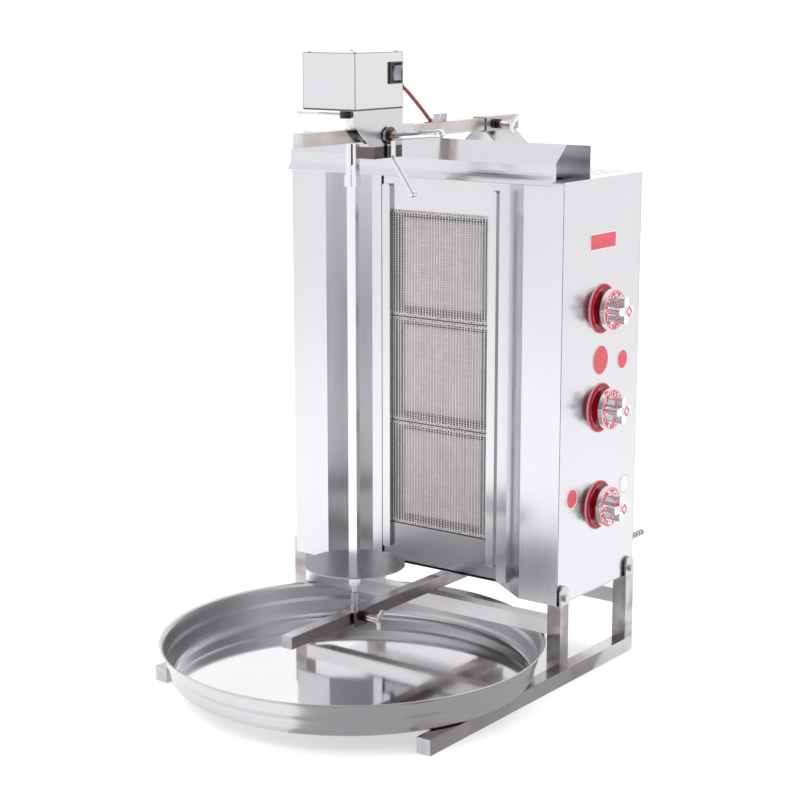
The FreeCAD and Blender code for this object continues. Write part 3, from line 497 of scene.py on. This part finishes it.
def bezel_finish():
    """Glossy red enamel dish, painted shade inside and a painted highlight on its pale edge."""
    s = Surface("red_enamel", specular=0.2, coat=0.1, coat_roughness=0.05)
    low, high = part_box("knob_bezels")
    half_size = (high.y - low.y) / 2
    y = (low.y + high.y) / 2
    radius = None
    for z in (low.z + half_size, (low.z + high.z) / 2, high.z - half_size):
        own = s.reach((0, y, z), "x")
        radius = own if radius is None else s.math("MINIMUM", radius, own)
    patch = s.noise(45, detail=3.0)
    # Painted shade: the dish inside the rim is darker than the rim.
    dish = s.ramp(patch, [(0.35, (0.30, 0.001, 0.008)), (0.65, (0.37, 0.002, 0.012))])
    rim = s.ramp(patch, [(0.35, (0.40, 0.008, 0.03)), (0.65, (0.46, 0.012, 0.04))])
    base = s.blend(s.step(radius, half_size - BEZEL_RIM), dish, rim)
    # Painted highlight: a pale line along the edge of the rim.
    s.paint(s.blend(s.step(radius, half_size - BEZEL_HIGHLIGHT_EDGE), base, (0.74, 0.36, 0.42)))
    s.gloss(s.level(patch, 0.08, 0.14))
    s.relief(s.noise(1500, detail=2.0), 0.2, 0.00001)
    return s.material


# Plain plates on the side panel: half sizes of the oblong, then y, z and radius of each disc.
OBLONG_Y, OBLONG_HALF_Y, OBLONG_HALF_Z = 0.2155, 0.0405, 0.0135
RED_DISCS = ((0.214, 0.522, 0.025), (0.285, 0.513, 0.017), (0.133, 0.307, 0.017))
WHITE_DISC_CENTRE, WHITE_DISC_RING = (0, 0.302, 0.298), 0.0150
LABEL_EDGE, RING_HALF_WIDE = 0.0016, 0.0008


def label_finish():
    """Blank plates: one red oblong and red discs with white edges, and one white disc."""
    s = Surface("label_plain", specular=0.4)
    _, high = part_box("blank_labels")
    mask = s.math("MULTIPLY", s.under(s.apart("Y", OBLONG_Y), OBLONG_HALF_Y - LABEL_EDGE),
                  s.under(s.apart("Z", high.z - OBLONG_HALF_Z), OBLONG_HALF_Z - LABEL_EDGE))
    for y, z, radius in RED_DISCS:
        disc = s.under(s.reach((0, y, z), "x"), radius - LABEL_EDGE)
        mask = s.math("MAXIMUM", mask, disc)
    away = s.math("SUBTRACT", s.reach(WHITE_DISC_CENTRE, "x"), WHITE_DISC_RING)
    ring = s.under(s.math("ABSOLUTE", away, 0.0), RING_HALF_WIDE)
    patch = s.noise(60, detail=3.0)
    red = s.ramp(patch, [(0.35, (0.66, 0.07, 0.10)), (0.65, (0.72, 0.09, 0.12))])
    s.paint(s.blend(ring, s.blend(mask, WHITE, red), (0.45, 0.44, 0.47)))
    s.gloss(s.level(patch, 0.28, 0.4))
    s.relief(s.noise(1500, detail=2.0), 0.2, 0.00002)
    return s.material


def floor_material():
    """Pale floor that glows a little, so that shadows stay faint."""
    s = Surface("floor", roughness=0.9, specular=0.1)
    s.paint(s.ramp(s.noise(3.0), [(0.3, (0.62, 0.62, 0.625)), (0.7, (0.635, 0.635, 0.64))]))
    s.shader.inputs["Emission Color"].default_value = (1, 1, 1, 1)
    s.shader.inputs["Emission Strength"].default_value = 0.46
    return s.material


STEEL = (0.66, 0.653, 0.672)
WARM = (0.50, 0.435, 0.41)
SADDLE_NUT_LONG = 0.0078
finish = {
    "panel_z": brushed("stainless_panel_upright", STEEL, 0.20, "z", 0.02, smudge=0.03),
    "panel_x": brushed("stainless_panel_across", STEEL, 0.20, "x", 0.02, smudge=0.03),
    "panel_y": brushed("stainless_panel_deep", STEEL, 0.20, "y", 0.02, smudge=0.03),
    # Painted light and shade: the same tube stock is brightest across, darker deep, darkest
    # upright.
    "tube_x": brushed("stainless_tube_across", (0.80, 0.79, 0.80), 0.25, "x", 0.05,
                      (0.72, 0.70, 0.70)),
    "tube_y": brushed("stainless_tube_deep", (0.56, 0.55, 0.555), 0.22, "y", 0.07,
                      (0.46, 0.43, 0.42)),
    "tube_z": brushed("stainless_tube_upright", (0.52, 0.505, 0.515), 0.2, "z", 0.08,
                      (0.33, 0.29, 0.28), tint_size=22.0),
    "arm": brushed("stainless_arm", (0.56, 0.52, 0.51), 0.2, "y", 0.07, WARM, tint_size=14.0),
    "lower_arm": lower_arm_finish("shaded_brown_arm"),
    "saddle": lower_arm_finish("shaded_brown_saddle",
                               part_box("foot_saddle")[1].x - SADDLE_NUT_LONG),
    "channel": channel_finish(),
    "satin": brushed("stainless_satin", (0.56, 0.555, 0.57), 0.3, "y", 0.04),
    "satin_z": brushed("stainless_satin_upright", (0.78, 0.775, 0.80), 0.2, "z", 0.03),
    # Painted shade: dark lines along the edges of the motor housing.
    "housing": folded_sheet("housing_sheet", "z", STEEL, (0.10, 0.09, 0.085),
                            lambda s: along_edges(s, "motor_housing", 0.0008)),
    # Painted shade on the seam line under the housing; the block under the arm is painted dark.
    "bracket": folded_sheet("bracket_sheet", "z", (0.60, 0.595, 0.61), (0.13, 0.115, 0.11),
                            bracket_zone),
    # Painted shade: dark lines along the edges of the right side panel.
    "side_right": folded_sheet("side_panel_sheet", "z", STEEL, (0.22, 0.215, 0.22),
                               lambda s: along_edges(s, "side_panel_right", 0.0007)),
    # Painted shade: a darker copy of the panel steel for the lower blank panel.
    "dim_panel": brushed("stainless_panel_dim", (0.40, 0.395, 0.41), 0.24, "x", 0.02,
                         depth=0.000003, smudge=0.03),
    "clutch": clutch_finish(),
    "lever": lever_finish(),
    "plate": meat_plate_finish(),
    "pan": pan_finish(),
    "chrome": machined("chrome_plate", (0.72, 0.725, 0.75), 0.05, 0.02),
    "zinc": machined("zinc_fastener", (0.58, 0.585, 0.60), 0.25),
    "bolt": machined("wing_bolt_plating", (0.78, 0.72, 0.68), 0.2, 0.15, 200.0),
    "brass": machined("brass_fitting", (0.66, 0.48, 0.25), 0.25),
    "burner_steel": machined("burner_steel", (0.07, 0.065, 0.068), 0.5, 0.15, 25.0),
    "mesh": machined("burner_mesh", (0.90, 0.855, 0.865), 0.38, 0.12, 90.0),
    "ceramic": ceramic_tile(),
    "red": bezel_finish(),
    "label": label_finish(),
    "cap": moulded("cap_plastic", (0.52, 0.515, 0.55), 0.4),
    "clip": moulded("clip_paint", (0.42, 0.415, 0.47), 0.35),
    "black": moulded("black_plastic", (0.02, 0.02, 0.022), 0.35),
    "rocker": moulded("rocker_plastic", (0.28, 0.27, 0.32), 0.32),
    "rubber": moulded("black_rubber", (0.02, 0.019, 0.019), 0.6),
    "grey_rubber": moulded("grey_rubber", (0.42, 0.41, 0.47), 0.5),
    "sheath": moulded("cable_sheath", (0.33, 0.065, 0.06), 0.4),
    "paint": moulded("motor_paint", (0.05, 0.055, 0.06), 0.45),
    "casting": machined("gear_case", (0.46, 0.46, 0.47), 0.45, 0.12, 80.0, 0.0001),
    "knob_bottom": knob_finish("knob_bottom"),
    "knob_middle": knob_finish("knob_middle"),
    "knob_top": knob_finish("knob_top"),
}

# finish of each CAD material slot, and of the nodes that differ from their slot
SLOTS = {
    "stainless_panel": "panel_z", "stainless_tube": "tube_y", "stainless_satin": "satin",
    "polished_pan": "pan", "chrome_plate": "chrome", "zinc_fastener": "zinc",
    "brass_fitting": "brass", "burner_steel": "burner_steel", "burner_mesh": "mesh",
    "ceramic": "ceramic", "red_enamel": "red", "knob_chrome": "chrome", "label_plain": "label",
    "black_plastic": "black", "rocker_plastic": "rocker", "black_rubber": "rubber",
    "cable_sheath": "sheath", "motor_paint": "paint", "gear_case": "casting",
}
OWN_FINISH = {
    "hood": "panel_x", "top_cover": "panel_y", "upper_blank_panel": "panel_x",
    "lower_blank_panel": "dim_panel", "bottom_panel": "panel_y", "cross_tubes": "tube_x",
    "legs": "tube_z", "upper_arm": "arm", "lower_arm": "lower_arm", "foot_saddle": "saddle",
    "meat_plate": "plate", "arm_channel": "channel", "foot_wing_bolt": "bolt",
    "rear_wing_bolt": "bolt", "cable_grommet": "grey_rubber", "spit": "satin_z",
    "knob_bottom": "knob_bottom", "knob_middle": "knob_middle", "knob_top": "knob_top",
    "drive_tube": "satin_z", "socket_collar": "satin_z", "head_bracket": "bracket",
    "motor_housing": "housing", "side_panel_right": "side_right", "clutch_handle": "clutch",
    "clamp_lever": "lever", "cable_clip": "clip", "tube_end_caps": "cap",
    "hose_spigot": "zinc",
}
# softened edges, in millimetres
BEVELS = {"switch_rocker": 0.8, "switch_frame": 0.6, "tube_end_caps": 0.4, "knob_bezels": 0.3}
PLAIN_BEVEL = 0.35
NO_BEVEL = ("burner_feed_lines", "gas_manifold", "motor_can", "blank_labels", "ceramic_tiles")

for name, node in nodes.items():
    slot = node.material_slots[0].material.name.split(".")[0]
    node.material_slots[0].material = finish[OWN_FINISH.get(name, SLOTS[slot])]
    if name not in NO_BEVEL:
        bevel = node.modifiers.new("edges", "BEVEL")
        bevel.width = BEVELS.get(name, PLAIN_BEVEL) * MM
        bevel.segments = 2
        bevel.limit_method = "ANGLE"
        bevel.angle_limit = math.radians(40)
        bevel.harden_normals = True
        bevel.use_clamp_overlap = True


# ---- mesh helpers -------------------------------------------------------------------------
def piece(name, vertices, faces, material, body):
    """A smooth mesh piece in frame coordinates, riding on a body if one is named."""
    mesh = bpy.data.meshes.new(name)
    mesh.from_pydata([tuple(v) for v in vertices], [], faces)
    mesh.validate()
    mesh.shade_smooth()
    mesh.materials.append(material)
    made = bpy.data.objects.new(name, mesh)
    scene.collection.objects.link(made)
    if body:
        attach(made, body)
    return made


def tube_mesh(path, radius, sides, vertices, faces, up=Vector((0, 1, 0))):
    """Adds a round tube along `path` to the lists."""
    first = len(vertices)
    count = len(path)
    for i, here in enumerate(path):
        ahead = path[min(i + 1, count - 1)] - path[max(i - 1, 0)]
        side = ahead.cross(up).normalized()
        over = side.cross(ahead).normalized()
        for k in range(sides):
            a = 2 * math.pi * (k + 0.5) / sides
            vertices.append(here + radius * (math.cos(a) * side + math.sin(a) * over))
    for i in range(count - 1):
        for k in range(sides):
            a = first + i * sides + k
            b = first + i * sides + (k + 1) % sides
            faces.append((a, b, b + sides, a + sides))
    faces.append(tuple(first + k for k in range(sides))[::-1])
    faces.append(tuple(first + (count - 1) * sides + k for k in range(sides)))


# ---- motor cable --------------------------------------------------------------------------
# The route's points are those of the CAD tube.
CABLE_ROUTE = [(0.038, -0.024, 0.964), (0.038, -0.012, 0.964), (0.024, 0.085, 0.898)]
CABLE_DIAMETER = 0.006


def smooth_route(points, resolution):
    """Points along the order 3 NURBS line that has `points` as its control points."""
    data = bpy.data.curves.new("route", "CURVE")
    data.dimensions = "3D"
    data.resolution_u = resolution
    spline = data.splines.new("NURBS")
    spline.points.add(len(points) - 1)
    for p, co in zip(spline.points, points):
        p.co = (*co, 1)
    spline.order_u = 3
    spline.use_endpoint_u = True
    carrier = bpy.data.objects.new("route", data)
    scene.collection.objects.link(carrier)
    bpy.context.view_layer.update()
    mesh = bpy.data.meshes.new_from_object(carrier)
    line = [v.co.copy() for v in mesh.vertices]
    bpy.data.objects.remove(carrier)
    return line


def motor_cable():
    """Round sheath from the gland on the head to the grommet on the arm."""
    line = smooth_route(CABLE_ROUTE, 24)
    vertices, faces = [], []
    tube_mesh(line, CABLE_DIAMETER / 2, 20, vertices, faces, Vector((1, 0, 0)))
    made = piece("motor_cable_sheath", vertices, faces, finish["sheath"], None)
    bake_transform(made)
    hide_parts("motor_cable")


# ---- burner screens -----------------------------------------------------------------------
WIRE_PITCH_X, WIRE_PITCH_Z = 0.0056, 0.0040
UPRIGHT_RADIUS, CROSS_RADIUS = 0.0008, 0.00055
UPRIGHT_STRAY, CROSS_STRAY = 0.0005, 0.0002
LACE_PITCH, LACE_HALF, LACE_STEPS = 0.0075, 0.0032, 8
WIRE_SIDES = 6
SCREEN_MARGIN = 0.0012
WIRE_SEED = 5


def burner_screen(name, low, high, chance):
    """Woven wire cloth filling the flat box from low to high, with a lacing wire wound
    along its top and bottom edges. The wires lie slightly unevenly."""
    vertices, faces = [], []
    y_mid = (low.y + high.y) / 2
    swing = (high.y - low.y) / 2 - UPRIGHT_RADIUS
    columns = int((high.x - low.x) / WIRE_PITCH_X)
    rows = int((high.z - low.z) / WIRE_PITCH_Z)
    dx, dz = (high.x - low.x) / columns, (high.z - low.z) / rows
    for c in range(columns + 1):
        x = low.x + c * dx + chance.uniform(-UPRIGHT_STRAY, UPRIGHT_STRAY)
        x = min(max(x, low.x + UPRIGHT_RADIUS), high.x - UPRIGHT_RADIUS)
        path = [Vector((x, y_mid + swing * math.cos(math.pi * (r + c)), low.z + r * dz))
                for r in range(rows + 1)]
        tube_mesh(path, UPRIGHT_RADIUS, WIRE_SIDES, vertices, faces)
    for r in range(rows + 1):
        z = low.z + r * dz + chance.uniform(-CROSS_STRAY, CROSS_STRAY)
        z = min(max(z, low.z + CROSS_RADIUS), high.z - CROSS_RADIUS)
        path = [Vector((low.x + c * dx, y_mid - swing * math.cos(math.pi * (r + c)), z))
                for c in range(columns + 1)]
        tube_mesh(path, CROSS_RADIUS, WIRE_SIDES, vertices, faces)
    laps = int((high.x - low.x) / LACE_PITCH)
    lap = (high.x - low.x - 2 * UPRIGHT_RADIUS) / laps
    rise = LACE_HALF - UPRIGHT_RADIUS
    for edge_z in (low.z + LACE_HALF, high.z - LACE_HALF):
        path = []
        for k in range(laps * LACE_STEPS + 1):
            a = 2 * math.pi * k / LACE_STEPS
            path.append(Vector((low.x + UPRIGHT_RADIUS + lap * k / LACE_STEPS,
                                y_mid - swing * math.cos(a), edge_z + rise * math.sin(a))))
        tube_mesh(path, UPRIGHT_RADIUS, WIRE_SIDES, vertices, faces)
    return piece(name, vertices, faces, finish["mesh"], "stand")


def burner_screens():
    """The three screens, which stand for the CAD slabs."""
    low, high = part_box("burner_screens")
    chance = random.Random(WIRE_SEED)
    for i, name in enumerate(("bottom", "middle", "top")):
        z0, z1 = screen_heights(i)
        burner_screen(f"screen_{name}",
                                  Vector((low.x - SCREEN_MARGIN, low.y, z0)),
                                  Vector((high.x + SCREEN_MARGIN, high.y, z1)), chance)
    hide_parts("burner_screens")


# ---- stage --------------------------------------------------------------------------------
CAMERA_PLACE = (1.8226, -2.4471, 1.0940)
CAMERA_DOWN, CAMERA_AROUND = 11.759, 36.357
CAMERA_LENS, CAMERA_SENSOR = 86.75, 36.0


def camera():
    """Camera at the photographed view."""
    data = bpy.data.cameras.new("camera")
    data.lens, data.sensor_width = CAMERA_LENS, CAMERA_SENSOR
    data.clip_end = 200.0
    made = bpy.data.objects.new("camera", data)
    made.location = CAMERA_PLACE
    made.rotation_euler = (math.radians(90 - CAMERA_DOWN), 0, math.radians(CAMERA_AROUND))
    scene.collection.objects.link(made)
    scene.camera = made


def area_light(name, place, target, size, power):
    """White light aimed at `target`, left out of reflections."""
    data = bpy.data.lights.new(name, "AREA")
    data.shape, data.size, data.size_y = "RECTANGLE", size[0], size[1]
    data.energy = power
    made = bpy.data.objects.new(name, data)
    made.location = place
    made.rotation_euler = (Vector(target) - Vector(place)).to_track_quat("-Z", "Y").to_euler()
    made.visible_glossy = False
    scene.collection.objects.link(made)


def floor_sheet(name, corners, z, material):
    """Flat four-cornered sheet of the stage."""
    mesh = bpy.data.meshes.new(name)
    mesh.from_pydata([(x, y, 0) for x, y in corners], [], [(0, 1, 2, 3)])
    mesh.materials.append(material)
    made = bpy.data.objects.new(name, mesh)
    made.location.z = z
    scene.collection.objects.link(made)
    return made


CARD_REACH = 5.0
# share of the reach from the middle of the footprint, and brightness there
CARD_SHADES = ((0.12, 0.50), (0.34, 0.78), (0.55, 0.55), (0.8, 0.30))
CARD_CORNERS = [(0.33, 0.35), (4.6, -3.2), (2.6, -4.8), (0.06, -0.34)]
FLOOR_HALF = 40.0
FLOOR_Z, CARD_Z = -0.0005, -0.0003


def dark_card_material():
    """Grey seen only in reflections, like the dim side of a studio."""
    made = bpy.data.materials.new("dark_card")
    made.use_nodes = True
    tree = made.node_tree
    tree.nodes.clear()
    glow = tree.nodes.new("ShaderNodeEmission")
    coordinates = tree.nodes.new("ShaderNodeTexCoord")
    away = tree.nodes.new("ShaderNodeVectorMath")
    away.operation = "LENGTH"
    tree.links.new(coordinates.outputs["Object"], away.inputs[0])
    share = tree.nodes.new("ShaderNodeMath")
    share.operation = "MULTIPLY"
    share.inputs[1].default_value = 1 / CARD_REACH
    tree.links.new(away.outputs["Value"], share.inputs[0])
    ramp = tree.nodes.new("ShaderNodeValToRGB")
    shades = ramp.color_ramp
    while len(shades.elements) < len(CARD_SHADES):
        shades.elements.new(0.5)
    for stop, (place, shade) in zip(shades.elements, CARD_SHADES):
        stop.position, stop.color = place, (shade, shade * 0.985, shade * 1.01, 1)
    tree.links.new(share.outputs[0], ramp.inputs["Fac"])
    tree.links.new(ramp.outputs["Color"], glow.inputs["Color"])
    out = tree.nodes.new("ShaderNodeOutputMaterial")
    tree.links.new(glow.outputs[0], out.inputs["Surface"])
    return made


def stage():
    """Floor, and a grey card on it that only reflections see."""
    r = FLOOR_HALF
    floor_sheet("floor", [(-r, -r), (r, -r), (r, r), (-r, r)], FLOOR_Z, floor_material())
    card = floor_sheet("dim_side", CARD_CORNERS, CARD_Z, dark_card_material())
    card.visible_camera = False
    card.visible_diffuse = False
    card.visible_shadow = False
    card.visible_transmission = False


# direction, where the dimming starts and ends as cosines, and the colour at its middle
DIM_SIDES = (((0.72, -0.69, 0.05), 0.5, 0.88, (0.30, 0.29, 0.31, 1)),
             ((-0.66, -0.25, 0.71), 0.6, 0.98, (0.88, 0.875, 0.89, 1)))
STUDIO_STRENGTH, SEEN_STRENGTH = 1.22, 1.1


def world():
    """White studio, dimmer behind the camera and at the upper left, plain white when seen."""
    made = bpy.data.worlds.new("studio")
    scene.world = made
    made.use_nodes = True
    tree = made.node_tree
    new, link = tree.nodes.new, tree.links.new
    background = tree.nodes["Background"]
    coordinates = new("ShaderNodeTexCoord")
    color = None
    for toward, start, end, dim in DIM_SIDES:
        dot = new("ShaderNodeVectorMath")
        dot.operation = "DOT_PRODUCT"
        dot.inputs[1].default_value = Vector(toward).normalized()
        link(coordinates.outputs["Generated"], dot.inputs[0])
        ramp = new("ShaderNodeValToRGB")
        first, last = ramp.color_ramp.elements
        first.position, first.color = start, (1, 1, 1, 1)
        last.position, last.color = end, dim
        link(dot.outputs["Value"], ramp.inputs["Fac"])
        if color is None:
            color = ramp.outputs["Color"]
        else:
            mix = new("ShaderNodeMix")
            mix.data_type, mix.blend_type = "RGBA", "MULTIPLY"
            mix.inputs[MIX_FACTOR].default_value = 1.0
            link(color, mix.inputs[MIX_FIRST])
            link(ramp.outputs["Color"], mix.inputs[MIX_SECOND])
            color = mix.outputs[MIX_RESULT]
    link(color, background.inputs["Color"])
    background.inputs["Strength"].default_value = STUDIO_STRENGTH
    plain = new("ShaderNodeBackground")
    plain.inputs["Strength"].default_value = SEEN_STRENGTH
    path = new("ShaderNodeLightPath")
    pick = new("ShaderNodeMixShader")
    link(path.outputs["Is Camera Ray"], pick.inputs["Fac"])
    link(background.outputs[0], pick.inputs[1])
    link(plain.outputs[0], pick.inputs[2])
    plain.inputs["Color"].default_value = (1, 1, 1, 1)
    link(pick.outputs[0], tree.nodes["World Output"].inputs["Surface"])


motor_cable()
burner_screens()
camera()
stage()
world()
area_light("key", (-1.2, -1.8, 2.6), (0, 0, 0.4), (1.6, 1.6), 30)
area_light("top", (0.3, 0.5, 2.8), (0, 0, 0.5), (2.0, 2.0), 30)
scene.view_settings.view_transform = "Standard"
